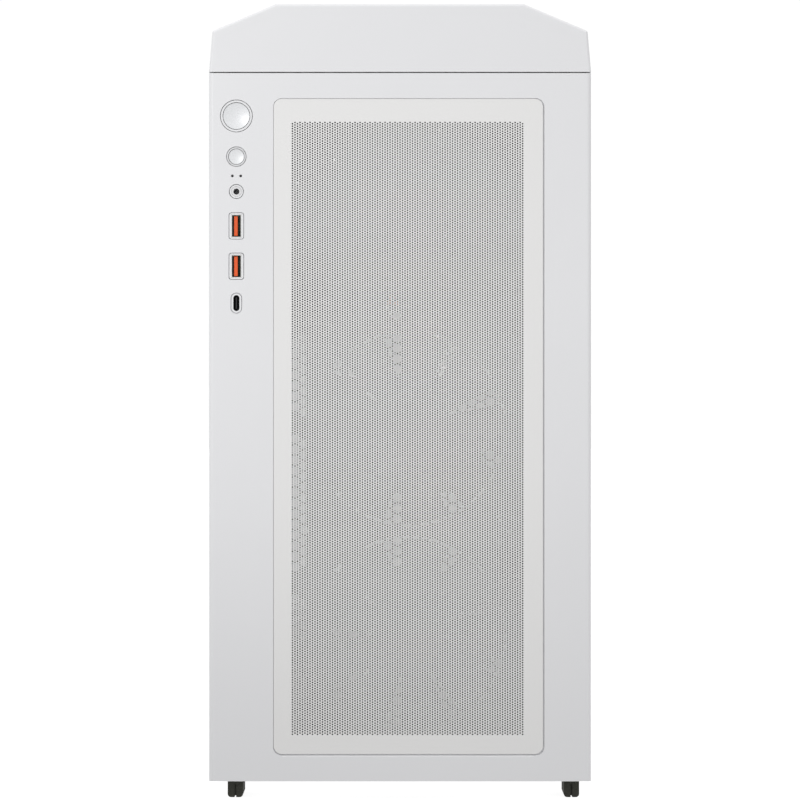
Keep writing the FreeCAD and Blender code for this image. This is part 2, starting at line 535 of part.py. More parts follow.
def thumbscrew(x, z):
    head = rod_y(x, 199.6, 205.0, z, 5.2)
    head = head.makeChamfer(0.6, [e for e in head.Edges if e.BoundBox.YMin > 204.9])
    grooves = [rod_y(x + 5.5 * math.cos(math.radians(18 * i)), 200.6, 206.0,
                     z + 5.5 * math.sin(math.radians(18 * i)), 0.6) for i in range(20)]
    head = head.cut(Part.makeCompound(grooves))
    slot = box(x - 3, x + 3, 203.6, 206.0, z - 0.5, z + 0.5)
    return head.cut(slot).fuse(rod_y(x, 188.0, 199.8, z, 1.75)).removeSplitter()


for name, sx in (("left", -1), ("right", 1)):
    for level, z in zip(("lower", "upper"), THUMB_Z):
        parts["thumbscrew_%s_%s" % (name, level)] = thumbscrew(sx * THUMB_X, z)

# ---- motherboard and what is plugged into it ----
by0, by1, bz0, bz1 = BOARD
stand = [(y, z) for y in (-43.0, 34.0, 185.0) for z in (114.0, 246.0, 406.0)]
holes = [circle("x", y, z, 1.9, BOARD_X) for y, z in stand]
parts["motherboard"] = sheet("x", rect("x", by0, by1, bz0, bz1, BOARD_X, 1.0), holes, 1.6)
posts = []
for y, z in stand:
    post = sheet("x", hexagon("x", y, z, 5.5, BOARD_X + 1.6), [], TRAY_X - BOARD_X - 1.6)
    stem = rod_x(BOARD_X - 0.1, BOARD_X + 1.7, y, z, 1.8)
    head = Part.makeCylinder(3.0, 1.8, V(BOARD_X - 1.8, y, z), V(1, 0, 0))
    posts.append(one([post, stem, head]))
parts["board_standoffs"] = Part.makeCompound(posts)
slots = []
for y in (14.0, 22.0, 30.0, 38.0):
    body = box(60.0, BOARD_X, y - 3.0, y + 3.0, 262.0, 402.0)
    slots.append(body.cut(box(59.0, 61.0, y - 0.8, y + 0.8, 265.0, 399.0)))
for z, length in ((CARD_Z, 89.0), (SLOT_Z[3], 25.0), (SLOT_Z[5], 89.0)):
    body = box(59.9, BOARD_X, 149.0 - length, 149.0, z - 3.7, z + 3.7)
    slots.append(body.cut(box(58.0, 63.5, 151.0 - length, 147.0, z - 0.95, z + 0.95)))
slots.append(box(57.0, BOARD_X, -46.0, -36.0, 300.0, 352.0))
slots.append(box(57.0, BOARD_X, -46.0, -30.0, 196.0, 210.0))
slots.append(box(57.0, BOARD_X, -46.0, -30.0, 178.0, 192.0))
slots.append(box(57.0, BOARD_X, 132.0, 142.0, 394.0, 411.0))
slots.append(box(59.0, BOARD_X, 44.0, 150.0, 110.0, 114.5))
slots.append(box(64.9, BOARD_X, CPU[0] - 22, CPU[0] + 22, CPU[1] - 22, CPU[1] + 22))
parts["board_sockets"] = Part.makeCompound(slots)
parts["memory_modules"] = Part.makeCompound(
    [box(33.0, 60.9, y - 0.65, y + 0.65, 265.5, 398.5).fuse(
        box(29.0, 55.0, y - 2.6, y + 2.6, 265.5, 398.5)).removeSplitter() for y in (22.0, 38.0)])
sinks = []
for y0, y1, z0, z1, x0, along in ((148.0, 170.0, 286.0, 386.0, 44.0, "z"),
                                  (0.0, 50.0, 120.0, 168.0, 60.0, "z")):
    body = box(x0, BOARD_X, y0, y1, z0, z1)
    n = int((z1 - z0) / 6.0)
    gaps = [box(x0 - 1, BOARD_X - 3.5, y0 - 1, y1 + 1, z0 + 3 + 6 * k, z0 + 6 + 6 * k) for k in range(n)]
    sinks.append(body.cut(Part.makeCompound(gaps)))
parts["board_heatsinks"] = Part.makeCompound(sinks)

# rear sockets of the motherboard with their shield plate
plate_holes = []
blocks = []
for z0, z1, x0, x1, holes in ((258, 274, 32, 66, ((262, 270, 36, 49), (262, 270, 51, 64))),
                              (278, 294, 30, 66, ((282, 290, 33, 46), (282, 290, 50, 63))),
                              (298, 314, 34, 66, ((301, 311, 38, 62),)),
                              (318, 334, 30, 66, ((321, 327, 34, 47), (321, 327, 50, 63))),
                              (338, 354, 34, 66, ((340, 352, 37, 49), (342, 350, 52, 64))),
                              (358, 374, 32, 66, ((361, 367, 34, 47), (361, 367, 50, 63))),
                              (377, 402, 30, 66, ())):
    body = box(x0, x1 + 1.4, 176.0, 196.4, z0, z1)
    for hz0, hz1, hx0, hx1 in holes:
        body = body.cut(box(hx0, hx1, 184.0, 200.0, hz0, hz1))
        plate_holes.append(rect("y", hx0, hx1, hz0, hz1, 196.2, 0.4))
    if not holes:
        for cx in (38.0, 57.0):
            for cz in (383.0, 396.0):
                body = body.cut(rod_y(cx, 184.0, 200.0, cz, 2.2))
                plate_holes.append(circle("y", cx, cz, 3.4, 196.2))
    blocks.append(body)
shield = sheet("y", rect("y", 25.0, 68.5, 250.5, 408.2, 196.2, 1.2), plate_holes, 1.4)
parts["rear_io_ports"] = one([shield] + blocks)

# ---- processor cooler ----
cy, cz = CPU
legs = [(cy - 13.5, 24.0), (cy - 4.5, 38.0), (cy + 4.5, 24.0), (cy + 13.5, 38.0)]
pipes = [pipe([(-87.0, y, cz - s), (58.0, y, cz - s), (58.0, y, cz + s), (-87.0, y, cz + s)], 9.0, 3.0)
         for y, s in legs]
block = box(54.0, 64.9, cy - 20, cy + 20, cz - 14, cz + 14)
parts["cooler_heat_pipes"] = one([block] + pipes)
gaps = [rect("y", -82.8 + 3.0 * i, -80.4 + 3.0 * i, cz - 59.0, cz + 59.0, cy - 23) for i in range(36)]
fins = sheet("y", rect("y", -83.4, 25.8, cz - 60, cz + 60, cy - 23), gaps, 46.0)
drill = [rod_x(-90.0, 30.0, y, cz + k * s, 3.05) for y, s in legs for k in (-1, 1)]
parts["cooler_fins"] = fins.cut(Part.makeCompound(drill))
cooler_y = cy - 23 - FAN_T - 0.5
parts["cooler_fan_frame"] = frame120.translated(V(-28.8, cooler_y, cz))
parts["cooler_fan_rotor"] = rotor120.translated(V(-28.8, cooler_y + 3.0, cz))

# ---- graphics card ----
card = sheet("z", rect("z", -50.0, 59.9, -70.0, 192.0, CARD_Z - 0.8, 2.0), [], 1.6)
parts["gpu_board"] = card.fuse(box(59.0, 63.0, 64.0, 146.0, CARD_Z - 0.8, CARD_Z + 0.8)).removeSplitter()
vents = [rect("y", -36 + 13 * k, -27 + 13 * k, z - 1.6, z + 1.6, 195.9, 1.5)
         for k in range(4) for z in (187.0, 192.0, 197.0)]
ports = [rect("y", -34 + 22 * k, -18 + 22 * k, CARD_Z - 8.0, CARD_Z - 2.5, 195.9, 0.6) for k in range(4)]
holes = [circle("y", -46.0, z, 1.75, 195.9) for z in SLOT_Z[1:3]]
plate = sheet("y", rect("y", -50.5, 67.0, SLOT_Z[2] - 9, SLOT_Z[1] + 9, 195.9, 1.0), vents + ports + holes, 1.1)
tab = box(-20.0, 20.0, 186.0, 196.0, CARD_Z + 0.8, CARD_Z + 1.8)
parts["gpu_bracket"] = one([plate, tab])
gpu_fans = ((-3.0, -22.0), (-3.0, 108.0))
sz0 = CARD_Z - 38.0
cover = box(-56.0, 48.0, -76.0, 184.0, sz0, CARD_Z - 0.8)
soft = [e for e in cover.Edges if e.BoundBox.ZLength > 10 or e.BoundBox.ZMax < sz0 + 0.1]
cover = cover.makeFillet(3.0, soft)
cover = cover.cut(box(-54.0, 46.0, -74.0, 182.0, sz0 + 2, CARD_Z))
wells = [rod_z(x, y, sz0 - 1, sz0 + 3, 44.0) for x, y in gpu_fans]
collars = [tube("z", x, y, 46.0, 44.0, sz0 + 1.5, 6.0) for x, y in gpu_fans]
spokes = []
for x, y in gpu_fans:
    spokes.append(rod_z(x, y, sz0 + 16.0, sz0 + 18.0, 14.0))
    spokes.append(box(x - 3, x + 3, -74.5, -22.0, sz0 + 16.0, sz0 + 18.0) if y < 0
                  else box(x - 3, x + 3, 108.0, 182.5, sz0 + 16.0, sz0 + 18.0))
cover = one([cover.cut(Part.makeCompound(wells))] + collars + spokes)
parts["gpu_shroud"] = cover
body = box(-50.0, 44.0, -70.0, 178.0, sz0 + 20.0, CARD_Z - 0.9)
gaps = [box(-60.0, 60.0, -67.0 + 5.0 * k, -64.0 + 5.0 * k, sz0 + 19.0, CARD_Z - 5.0) for k in range(49)]
parts["gpu_heatsink"] = body.cut(Part.makeCompound(gaps))
rotor84 = fan_rotor(15.0, 42.0, 11.0, 11).rotated(V(0, 0, 0), V(1, 0, 0), 90)
for name, (x, y) in zip(("front", "rear"), gpu_fans):
    parts["gpu_fan_rotor_" + name] = rotor84.translated(V(x, y, sz0 + 3.5))

# ---- power supply ----
x0, x1, y0, y1, z0, z1 = PSU
case = box(x0, x1, y0, y1 - 1, z0, z1).cut(box(x0 + 1, x1 - 1, y0 + 1, y1, z0 + 1, z1 - 1))
pcx = (x0 + x1) / 2
pcy = y0 + 66.0
case = case.cut(rod_z(pcx, pcy, z0 - 1, z0 + 2, 58.0)).cut(box(10.0, 60.0, y0 - 1, y0 + 2, 46.0, 84.0))
guard = [tube("z", pcx, pcy, r + 0.8, r - 0.8, z0, 1.2) for r in (20.0, 32.0, 44.0, 56.0)]
guard += [box(pcx - 58.5, pcx + 58.5, pcy - 0.8, pcy + 0.8, z0 + 0.2, z0 + 1.0),
          box(pcx - 0.8, pcx + 0.8, pcy - 58.5, pcy + 58.5, z0 + 0.2, z0 + 1.0)]
bars = [box(x0 + 0.5, x1 - 0.5, pcy - 4, pcy + 4, z0 + 21.0, z0 + 23.0),
        rod_z(pcx, pcy, z0 + 21.0, z0 + 23.0, 20.0)]
w = y1 - 1
columns = [(i, -60.0 + 5.4 * i) for i in range(14)]
holes = hex_field("y", columns, 30.0, 88.0, 6.2, 5.0, w, lambda u, v: True)
holes += [rect("y", 25.0, 52.0, 62.0, 82.0, w), rect("y", 28.0, 49.0, 29.6, 44.4, w)]
holes += [circle("y", x, z, 1.75, w) for x, z in PSU_SCREWS]
back = sheet("y", rect("y", x0, x1, z0, z1, w), holes, 1.0)
parts["psu_housing"] = one([case, back] + guard + bars)
rotor_psu = fan_rotor(19.0, 55.5, 15.0, 9).rotated(V(0, 0, 0), V(1, 0, 0), 90)
parts["psu_fan_rotor"] = rotor_psu.translated(V(pcx, pcy, z0 + 4.0))
inlet = one([box(25.2, 51.8, 178.0, y1 + 0.2, 62.2, 81.8),
             sheet("y", rect("y", 22.5, 54.5, 59.5, 84.5, y1, 2.0), [], 1.6)])
mouth = ring("y", [(27.0, 65.0), (50.0, 65.0), (50.0, 75.5), (46.0, 79.5), (31.0, 79.5), (27.0, 75.5)], 183.0)
inlet = inlet.cut(Part.Face(mouth).extrude(V(0, 20, 0)))
blades = [box(x - 1.9, x + 1.9, 182.0, 196.0, z - 0.7, z + 0.7)
          for x, z in ((32.5, 70.5), (44.5, 70.5), (38.5, 75.0))]
parts["psu_inlet"] = one([inlet] + blades)
profile = [(191.8, 31.3), (191.8, 42.7), (198.6, 42.9), (197.2, 37.0), (198.6, 31.1)]
rocker = Part.Face(ring("x", profile, 29.0)).extrude(V(19.0, 0, 0))
parts["psu_switch"] = one([rocker, rod_x(28.4, 48.6, 195.5, 37.0, 1.3)])

# ---- power leads from the supply, through the tray and back to the board and the card ----
main = [(46.0, 57.5, 66.0), (46.0, 20.0, 66.0), (88.0, 20.0, 66.0), (88.0, 20.0, 120.0),
        (88.0, -76.0, 216.0), (88.0, -76.0, 326.0), (46.0, -76.0, 326.0), (46.0, -41.0, 326.0),
        (57.0, -41.0, 326.0)]
card_lead = [(30.0, 57.5, 66.0), (30.0, 24.0, 66.0), (30.0, 24.0, 86.0), (88.0, 5.0, 86.0),
             (88.0, -66.0, 160.0), (88.0, -66.0, 240.0), (10.0, -66.0, 240.0), (-46.0, -60.0, 240.0),
             (-46.0, -60.0, CARD_Z + 0.8)]
parts["power_leads"] = Part.makeCompound([pipe(main, 9.0, 5.0), pipe(card_lead, 8.0, 3.6)])

os.makedirs("parts", exist_ok=True)
for name, shape in parts.items():
    shape.exportStep("parts/%s.step" % name)
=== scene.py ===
import math

import bmesh
import bpy
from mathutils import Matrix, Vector


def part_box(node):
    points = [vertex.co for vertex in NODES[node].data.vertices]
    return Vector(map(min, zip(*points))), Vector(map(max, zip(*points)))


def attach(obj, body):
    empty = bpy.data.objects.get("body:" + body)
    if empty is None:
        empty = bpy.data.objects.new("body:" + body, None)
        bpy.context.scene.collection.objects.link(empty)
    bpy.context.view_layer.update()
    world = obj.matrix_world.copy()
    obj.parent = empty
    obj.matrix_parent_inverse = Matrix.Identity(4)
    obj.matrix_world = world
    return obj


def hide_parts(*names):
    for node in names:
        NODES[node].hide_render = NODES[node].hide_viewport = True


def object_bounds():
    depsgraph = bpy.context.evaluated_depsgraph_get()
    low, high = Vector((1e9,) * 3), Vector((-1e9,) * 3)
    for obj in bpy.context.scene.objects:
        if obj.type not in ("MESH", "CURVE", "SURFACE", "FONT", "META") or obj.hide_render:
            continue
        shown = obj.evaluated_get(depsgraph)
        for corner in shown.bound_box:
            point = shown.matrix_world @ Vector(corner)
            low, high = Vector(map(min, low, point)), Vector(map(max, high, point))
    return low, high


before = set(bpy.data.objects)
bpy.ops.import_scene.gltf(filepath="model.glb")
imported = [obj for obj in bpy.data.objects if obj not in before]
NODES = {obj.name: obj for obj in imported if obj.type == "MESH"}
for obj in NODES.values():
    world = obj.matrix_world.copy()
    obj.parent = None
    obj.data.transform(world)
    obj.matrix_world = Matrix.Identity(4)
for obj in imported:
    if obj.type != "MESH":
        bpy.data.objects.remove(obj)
cad_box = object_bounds()
MM = 0.001

# ---- driving sizes (metres) ----
FRONT_MARGINS = (9.5 * MM, 10.35 * MM, 10.1 * MM, 12.4 * MM)   # plain border: left, right, bottom, top
FRONT_PITCH = (1.44 * MM, 1.423 * MM)                          # column spacing, hole spacing in a column
FRONT_HOLE_R = 0.505 * MM
FRONT_CORNER_R = 4.75 * MM
FRONT_TILES = 4                                                # the field is made as this many meshes
TOP_MARGINS = (6.0 * MM, 6.0 * MM, 6.0 * MM, 6.0 * MM)
TOP_PITCH = (2.55 * MM, 2.95 * MM)
TOP_HOLE_R = 1.2 * MM
TOP_CORNER_R = 5.4 * MM
TOP_TILES = 1
PLATE_EDGE = 0.12 * MM                                         # broken edge of both inserts
GLASS_EDGE = 0.6 * MM                                          # ground edge of the side glass
GLASS_CORNER_R = 3.0 * MM
GLASS_GAP = 0.05 * MM                                          # air between the glass and its steel frame

# ---- view and light ----
CAMERA_DISTANCE = 4.2                                          # from the front face
CAMERA_RISE = 1.0 * MM                                         # above the middle of the case
VIEW_WIDTH = 0.4605                                            # width of the view at the front face
SENSOR_WIDTH = 36.0                                            # millimetres, as the lens
FLOOR_REACH = 30.0
LIGHT_ABOVE = 1.02                                             # brightness of the surroundings
LIGHT_BELOW = 0.33                                             # the same, below the horizon


# ---- materials ----
class Nodes:
    """A small helper that adds and joins shader nodes in one material."""

    def __init__(self, name):
        self.material = bpy.data.materials.new(name)
        self.material.use_nodes = True
        self.tree = self.material.node_tree
        self.shader = self.tree.nodes["Principled BSDF"]
        self.output = self.tree.nodes["Material Output"]

    def add(self, kind, **inputs):
        node = self.tree.nodes.new(kind)
        for key, value in inputs.items():
            node.inputs[key.replace("_", " ")].default_value = value
        return node

    def link(self, a, b):
        self.tree.links.new(a, b)

    def place(self):
        return self.add("ShaderNodeTexCoord").outputs["Object"]

    def noise(self, scale, detail=2.0, stretch=None):
        texture = self.add("ShaderNodeTexNoise", Scale=scale, Detail=detail)
        where = self.place()
        if stretch:
            mapping = self.add("ShaderNodeMapping")
            mapping.inputs["Scale"].default_value = stretch
            self.link(where, mapping.inputs["Vector"])
            where = mapping.outputs["Vector"]
        self.link(where, texture.inputs["Vector"])
        return texture.outputs["Fac"]

    def spread(self, value, low, high, first=0.3, last=0.7):
        node = self.add("ShaderNodeMapRange")
        node.inputs["From Min"].default_value = first
        node.inputs["From Max"].default_value = last
        node.inputs["To Min"].default_value = low
        node.inputs["To Max"].default_value = high
        self.link(value, node.inputs["Value"])
        return node.outputs["Result"]

    def blend(self, factor, a, b):
        node = self.tree.nodes.new("ShaderNodeMix")
        node.data_type = "RGBA"
        node.inputs[6].default_value = (*a, 1.0)
        node.inputs[7].default_value = (*b, 1.0)
        self.link(factor, node.inputs[0])
        return node.outputs[2]

    def bump(self, height, strength, distance):
        node = self.add("ShaderNodeBump", Strength=strength, Distance=distance)
        self.link(height, node.inputs["Height"])
        previous = self.shader.inputs["Normal"]
        if previous.is_linked:
            self.link(previous.links[0].from_socket, node.inputs["Normal"])
        self.link(node.outputs["Normal"], previous)

    def set(self, **values):
        for key, value in values.items():
            self.shader.inputs[key.replace("_", " ")].default_value = value


def shade(colour, factor):
    return tuple(min(1.0, c * factor) for c in colour)


def coated(name, colour, roughness, grain, depth, variation=0.015, metallic=0.0, coat=0.0):
    """Moulded plastic or powder coat: slightly uneven colour and gloss under a fine surface grain."""
    m = Nodes(name)
    broad = m.noise(9.0, 3.0)
    m.link(m.blend(m.spread(broad, 0.0, 1.0), shade(colour, 1 - variation), shade(colour, 1 + variation)),
           m.shader.inputs["Base Color"])
    m.link(m.spread(m.noise(60.0, 4.0), roughness - 0.05, roughness + 0.05), m.shader.inputs["Roughness"])
    m.bump(m.noise(grain, 2.0), 0.35, depth)
    m.set(Metallic=metallic, Coat_Weight=coat, Coat_Roughness=0.25)
    return m.material


def brushed(name, colour, roughness, stretch, metallic=1.0):
    """Metal with fine lines along one direction."""
    m = Nodes(name)
    lines = m.noise(1.0, 3.0, stretch)
    m.link(m.blend(m.spread(lines, 0.0, 1.0), shade(colour, 0.88), shade(colour, 1.08)),
           m.shader.inputs["Base Color"])
    m.link(m.spread(lines, roughness - 0.08, roughness + 0.10), m.shader.inputs["Roughness"])
    m.bump(lines, 0.25, 0.00002)
    m.set(Metallic=metallic)
    return m.material


def plain(name, colour, roughness, metallic=0.0):
    """A finish whose detail is in the mesh itself: thousands of punched holes."""
    m = Nodes(name)
    m.set(Base_Color=(*colour, 1.0), Roughness=roughness, Metallic=metallic)
    return m.material


def ribbed_rubber(name, colour):
    """Matt rubber with a fine diagonal knurl."""
    m = Nodes(name)
    m.link(m.blend(m.spread(m.noise(120.0, 4.0), 0.0, 1.0), shade(colour, 0.8), shade(colour, 1.35)),
           m.shader.inputs["Base Color"])
    for slant in (1.0, -1.0):
        wave = m.add("ShaderNodeTexWave", Scale=320.0, Distortion=0.0)
        mapping = m.add("ShaderNodeMapping")
        mapping.inputs["Rotation"].default_value = (0.0, slant * math.radians(45), 0.0)
        m.link(m.place(), mapping.inputs["Vector"])
        m.link(mapping.outputs["Vector"], wave.inputs["Vector"])
        m.bump(wave.outputs["Fac"], 0.5, 0.00012)
    m.bump(m.noise(3000.0), 0.3, 0.00003)
    m.set(Roughness=0.78)
    return m.material


def pearl(name, colour):
    """Button face: satin lacquer with fine flakes, slightly metallic."""
    m = Nodes(name)
    flakes = m.noise(1800.0, 1.0)
    m.link(m.blend(m.spread(flakes, 0.0, 1.0), shade(colour, 0.94), shade(colour, 1.05)),
           m.shader.inputs["Base Color"])
    m.link(m.spread(m.noise(400.0, 2.0), 0.36, 0.44), m.shader.inputs["Roughness"])
    m.bump(flakes, 0.15, 0.00001)
    m.set(Metallic=0.1, Coat_Weight=0.15, Coat_Roughness=0.3)
    return m.material


def circuit_board(name, colour):
    """Glossy solder mask with faint raised traces."""
    m = Nodes(name)
    traces = m.add("ShaderNodeTexBrick", Scale=55.0, Mortar_Size=0.03, Brick_Width=0.9, Row_Height=0.11)
    mapping = m.add("ShaderNodeMapping")
    mapping.inputs["Rotation"].default_value = (0.0, math.radians(90), math.radians(90))
    m.link(m.place(), mapping.inputs["Vector"])
    m.link(mapping.outputs["Vector"], traces.inputs["Vector"])
    m.link(m.blend(traces.outputs["Fac"], colour, shade(colour, 2.1)), m.shader.inputs["Base Color"])
    m.bump(traces.outputs["Fac"], 0.3, 0.00004)
    m.bump(m.noise(900.0), 0.1, 0.00002)
    m.link(m.spread(m.noise(80.0), 0.28, 0.4), m.shader.inputs["Roughness"])
    m.set(Coat_Weight=0.3, Coat_Roughness=0.15)
    return m.material


def woven(name, colour):
    """Braided sleeve."""
    m = Nodes(name)
    check = m.add("ShaderNodeTexVoronoi", Scale=900.0)
    m.link(m.place(), check.inputs["Vector"])
    strand = m.spread(check.outputs["Distance"], 0.0, 1.0, 0.1, 0.6)
    m.link(m.blend(strand, shade(colour, 2.2), shade(colour, 0.6)), m.shader.inputs["Base Color"])
    m.bump(check.outputs["Distance"], 0.6, 0.0002)
    m.set(Roughness=0.7, Sheen_Weight=0.15)
    return m.material


def netting(name, colour):
    """Fine nylon net in a moulded frame."""
    m = Nodes(name)
    grid = m.add("ShaderNodeTexBrick", Scale=700.0, Mortar_Size=0.12, Brick_Width=0.5, Row_Height=0.5)
    grid.offset = 0.0
    m.link(m.place(), grid.inputs["Vector"])
    m.link(m.blend(grid.outputs["Fac"], shade(colour, 0.5), shade(colour, 1.8)),
           m.shader.inputs["Base Color"])
    m.bump(grid.outputs["Fac"], 0.6, 0.00015)
    m.set(Roughness=0.6)
    return m.material


def smoked_glass(name, tint):
    """Lightly smoked tempered glass: what is behind shows through, with a clean reflection on top."""
    m = Nodes(name)
    m.tree.nodes.remove(m.shader)
    clear = m.add("ShaderNodeBsdfTransparent", Color=(*tint, 1.0))
    gloss = m.add("ShaderNodeBsdfGlossy", Color=(0.95, 0.97, 0.97, 1.0), Roughness=0.015)
    grazing = m.add("ShaderNodeMath")
    grazing.operation = "POWER"
    grazing.inputs[1].default_value = 5.0
    m.link(m.add("ShaderNodeLayerWeight", Blend=0.5).outputs["Facing"], grazing.inputs[0])
    mix = m.add("ShaderNodeMixShader")
    m.link(m.spread(grazing.outputs[0], 0.04, 1.0, 0.0, 1.0), mix.inputs[0])
    m.link(clear.outputs["BSDF"], mix.inputs[1])
    m.link(gloss.outputs["BSDF"], mix.inputs[2])
    m.link(mix.outputs["Shader"], m.output.inputs["Surface"])
    return m.material


WHITE_PLASTIC = (0.795, 0.797, 0.812)
WHITE_PAINT = (0.812, 0.808, 0.803)
BEZEL = coated("bezel_plastic", WHITE_PLASTIC, 0.42, 2600.0, 0.00002, 0.006)
PLATE = coated("mesh_paint", WHITE_PAINT, 0.48, 1500.0, 0.00003, 0.006)
HOLED = plain("mesh_paint_holes", WHITE_PAINT, 0.5)
CHASSIS = coated("chassis_paint", (0.74, 0.74, 0.74), 0.5, 1100.0, 0.00004, 0.012)
# painted shade: the white steel chassis front sheet is coloured near-black so the holes of the front mesh
# read dark, standing in for the shade behind the mesh
SHADE_BLACKENED_SHEET = coated("painted_shade_sheet", (0.08, 0.08, 0.081), 0.55, 1100.0, 0.00004, 0.03)
GLASS = smoked_glass("smoked_glass", (0.72, 0.74, 0.745))
PEARL = pearl("button_pearl", (0.76, 0.77, 0.785))
BLACK_PLASTIC = coated("black_plastic", (0.030, 0.031, 0.032), 0.45, 2200.0, 0.00003, 0.12)
ROTOR_PLASTIC = coated("rotor_plastic", (0.055, 0.057, 0.060), 0.38, 1800.0, 0.00002, 0.10)
FOOT_PLASTIC = coated("foot_plastic", (0.022, 0.022, 0.019), 0.5, 2000.0, 0.00003, 0.12)
RUBBER = ribbed_rubber("foot_rubber", (0.028, 0.028, 0.020))
NET = netting("filter_net", (0.030, 0.030, 0.032))
JACK = coated("jack_plastic", (0.75, 0.75, 0.76), 0.4, 3000.0, 0.00001, 0.02)
SHELL = brushed("port_shell", (0.66, 0.65, 0.63), 0.28, (3000.0, 300.0, 3000.0))
ORANGE = coated("port_tongue", (0.82, 0.095, 0.002), 0.55, 3000.0, 0.00001, 0.05)
DARK_SHELL = brushed("port_black", (0.035, 0.035, 0.037), 0.45, (3000.0, 300.0, 3000.0))
PIPE = coated("led_pipe", (0.006, 0.006, 0.007), 0.45, 3000.0, 0.00001, 0.05)
GOLD = brushed("gold_contacts", (0.83, 0.62, 0.25), 0.25, (3000.0, 300.0, 3000.0))
GREEN_BOARD = circuit_board("green_board", (0.015, 0.13, 0.06))
BLACK_BOARD = circuit_board("black_board", (0.018, 0.020, 0.023))
SOCKETS = coated("socket_plastic", (0.05, 0.05, 0.055), 0.42, 2500.0, 0.00003, 0.1)
ALUMINIUM = brushed("heatsink_aluminium", (0.68, 0.69, 0.70), 0.34, (60.0, 2200.0, 60.0))
COPPER = brushed("copper", (0.78, 0.42, 0.27), 0.24, (30.0, 2500.0, 2500.0))
BRASS = brushed("brass", (0.72, 0.55, 0.26), 0.3, (200.0, 3000.0, 3000.0))
ZINC = brushed("zinc_steel", (0.58, 0.59, 0.60), 0.38, (80.0, 80.0, 2600.0))
NICKEL = brushed("nickel_screws", (0.66, 0.65, 0.63), 0.26, (1800.0, 200.0, 1800.0))
BLACK_ZINC = coated("black_zinc", (0.035, 0.035, 0.038), 0.35, 2400.0, 0.00002, 0.15, metallic=0.6)
MEMORY = coated("memory_spreader", (0.09, 0.095, 0.11), 0.36, 1200.0, 0.00003, 0.08, metallic=0.7)
SUPPLY = coated("supply_paint", (0.030, 0.030, 0.032), 0.55, 900.0, 0.00008, 0.12)
DRIVE = brushed("drive_metal", (0.52, 0.53, 0.54), 0.42, (900.0, 60.0, 900.0))
SLEEVE = woven("lead_sleeve", (0.030, 0.030, 0.033))
CHOKE = coated("choke_ferrite", (0.16, 0.165, 0.17), 0.45, 1500.0, 0.00003, 0.1)
CAN = brushed("capacitor_can", (0.62, 0.63, 0.64), 0.3, (2500.0, 500.0, 500.0))
BLUE = coated("socket_blue", (0.010, 0.09, 0.42), 0.38, 3000.0, 0.00001, 0.05)
LIME = coated("jack_green", (0.16, 0.42, 0.05), 0.40, 3000.0, 0.00001, 0.05)
CHIP = coated("chip_resin", (0.022, 0.023, 0.025), 0.4, 2600.0, 0.00002, 0.12)

FINISHES = {
    BEZEL: ("front_bezel", "top_cover", "io_module_housing"),
    CHASSIS: ("base_pan", "rear_panel", "top_frame", "motherboard_tray", "psu_shroud", "drive_cage",
              "glass_panel_frame", "right_side_panel"),
    # chassis_front carries the near-black painted shade, not its own white paint
    SHADE_BLACKENED_SHEET: ("chassis_front",),
    GLASS: ("glass_panel",),
    PEARL: ("power_button", "reset_button"),
    BLACK_PLASTIC: ("case_fan_frames", "cooler_fan_frame", "psu_inlet", "psu_switch", "gpu_shroud"),
    ROTOR_PLASTIC: ("front_fan_rotor_lower", "front_fan_rotor_middle", "front_fan_rotor_upper",
                    "rear_fan_rotor", "cooler_fan_rotor", "gpu_fan_rotor_front", "gpu_fan_rotor_rear",
                    "psu_fan_rotor"),
    FOOT_PLASTIC: ("foot_carriers",),
    RUBBER: ("foot_pads",),
    NET: ("bottom_filter",),
    JACK: ("audio_jack",),
    SHELL: ("usb_a_shells", "rear_io_ports"),
    ORANGE: ("usb_a_tongues",),
    DARK_SHELL: ("usb_c_port",),
    PIPE: ("led_pipes",),
    GREEN_BOARD: ("front_io_board",),
    BLACK_BOARD: ("motherboard", "gpu_board"),
    SOCKETS: ("board_sockets",),
    ALUMINIUM: ("board_heatsinks", "cooler_fins", "gpu_heatsink"),
    COPPER: ("cooler_heat_pipes",),
    BRASS: ("board_standoffs",),
    ZINC: ("slot_covers", "gpu_bracket"),
    NICKEL: ("case_screws",),
    BLACK_ZINC: ("fan_screws", "thumbscrew_left_lower", "thumbscrew_left_upper", "thumbscrew_right_lower",
                 "thumbscrew_right_upper"),
    MEMORY: ("memory_modules",),
    SUPPLY: ("psu_housing",),
    DRIVE: ("hard_drive",),
    SLEEVE: ("power_leads",),
}
for material, names in FINISHES.items():
    for name in names:
        NODES[name].data.materials.clear()
        NODES[name].data.materials.append(material)


# ---- meshes ----
def mesh_object(name, points, faces, material):
    data = bpy.data.meshes.new(name)
    data.from_pydata(points, [], faces)
    data.materials.append(material)
    data.update()
    obj = bpy.data.objects.new(name, data)
    bpy.context.scene.collection.objects.link(obj)
    return obj


